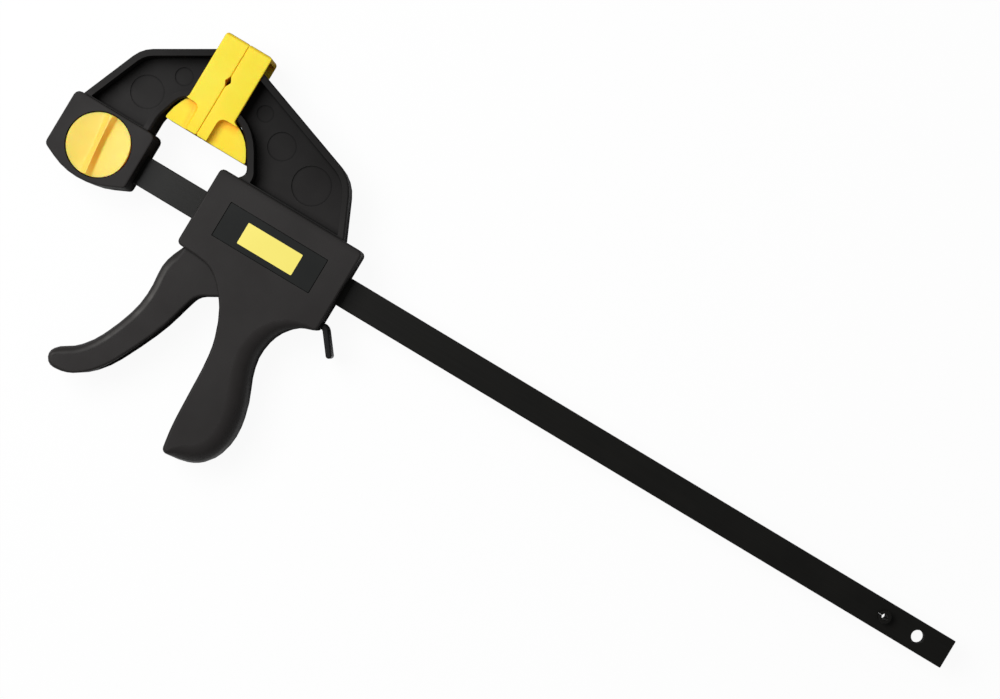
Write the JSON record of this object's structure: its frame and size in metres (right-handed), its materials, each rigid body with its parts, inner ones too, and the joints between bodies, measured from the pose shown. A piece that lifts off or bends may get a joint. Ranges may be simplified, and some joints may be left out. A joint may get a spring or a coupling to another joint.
{
  "type": "one-handed bar clamp",
  "caption": "Trigger-driven bar clamp lying on its side, jaws closed: fixed jaw with quarter-turn lock knob, sliding jaw with pistol grip, squeeze trigger and release lever, soft yellow pads.",
  "frame": {"origin": "on the fixed jaw's flat back, under the lock pin's axis", "axes": "+X along the bar away from the fixed jaw, +Y from the bar to the jaws, +Z across the clamp from back to front"},
  "size_m": [0.5009, 0.1894, 0.0308],
  "materials": {
    "nylon_black": "fine spark-eroded texture",
    "steel_black": "black oxide, satin",
    "steel_plain": "plain spring and pin steel",
    "pad_yellow": "soft moulded, matte",
    "knob_yellow": "satin moulded",
    "label_black": "smooth, semi-gloss, unprinted"
  },
  "bodies": {
    "clamp_bar": {"bar": "steel_black", "stop_pin": "steel_plain", "fixed_jaw": "nylon_black", "fixed_jaw_pad": "pad_yellow"},
    "lock": {"lock_knob": "knob_yellow", "lock_pin": "steel_plain"},
    "carriage": {"main_body": "nylon_black", "rear_cover": "nylon_black", "cover_screw_1": "steel_black", "cover_screw_2": "steel_black", "cover_screw_3": "steel_black", "cover_screw_4": "steel_black", "cover_screw_5": "steel_black", "cover_screw_6": "steel_black", "moving_jaw_pad": "pad_yellow", "label_plate": "label_black", "trigger_pivot_pin": "steel_plain", "brake_spring": "steel_plain"},
    "trigger_lever": {"trigger": "nylon_black"},
    "drive": {"drive_plate_1": "steel_plain", "drive_plate_2": "steel_plain", "drive_spring": "steel_plain"},
    "brake": {"brake_plate": "steel_black"}
  },
  "joints": [
    {"name": "lock_turn", "type": "hinge", "parent": "clamp_bar", "child": "lock", "pos_m": [0, 0, 0.015], "axis": [0, 0, 1], "range_deg": [0, 90]},
    {"name": "moving_jaw_slide", "type": "slide", "parent": "clamp_bar", "child": "carriage", "axis": [1, 0, 0], "range_m": [0, 0.303]},
    {"name": "trigger_squeeze", "type": "hinge", "parent": "carriage", "child": "trigger_lever", "pos_m": [0.0705, 0.0136, 0.015], "axis": [0, 0, 1], "range_deg": [0, 14], "stiffness_Nm_per_rad": 0.4, "springref_deg": -20.05},
    {"name": "drive_slide", "type": "slide", "parent": "carriage", "child": "drive", "axis": [1, 0, 0], "range_m": [0, 0.00702], "deforming": ["drive_spring"]},
    {"name": "brake_release", "type": "hinge", "parent": "carriage", "child": "brake", "pos_m": [0.1343, -0.0197, 0.015], "axis": [0, 0, -1], "range_deg": [0, 5], "stiffness_Nm_per_rad": 0.3, "springref_deg": -17.19, "deforming": ["brake_spring"]}
  ],
  "couplings": [
    {"joint": "drive_slide", "follows": "trigger_squeeze", "m_per_rad": 0.0287}
  ]
}
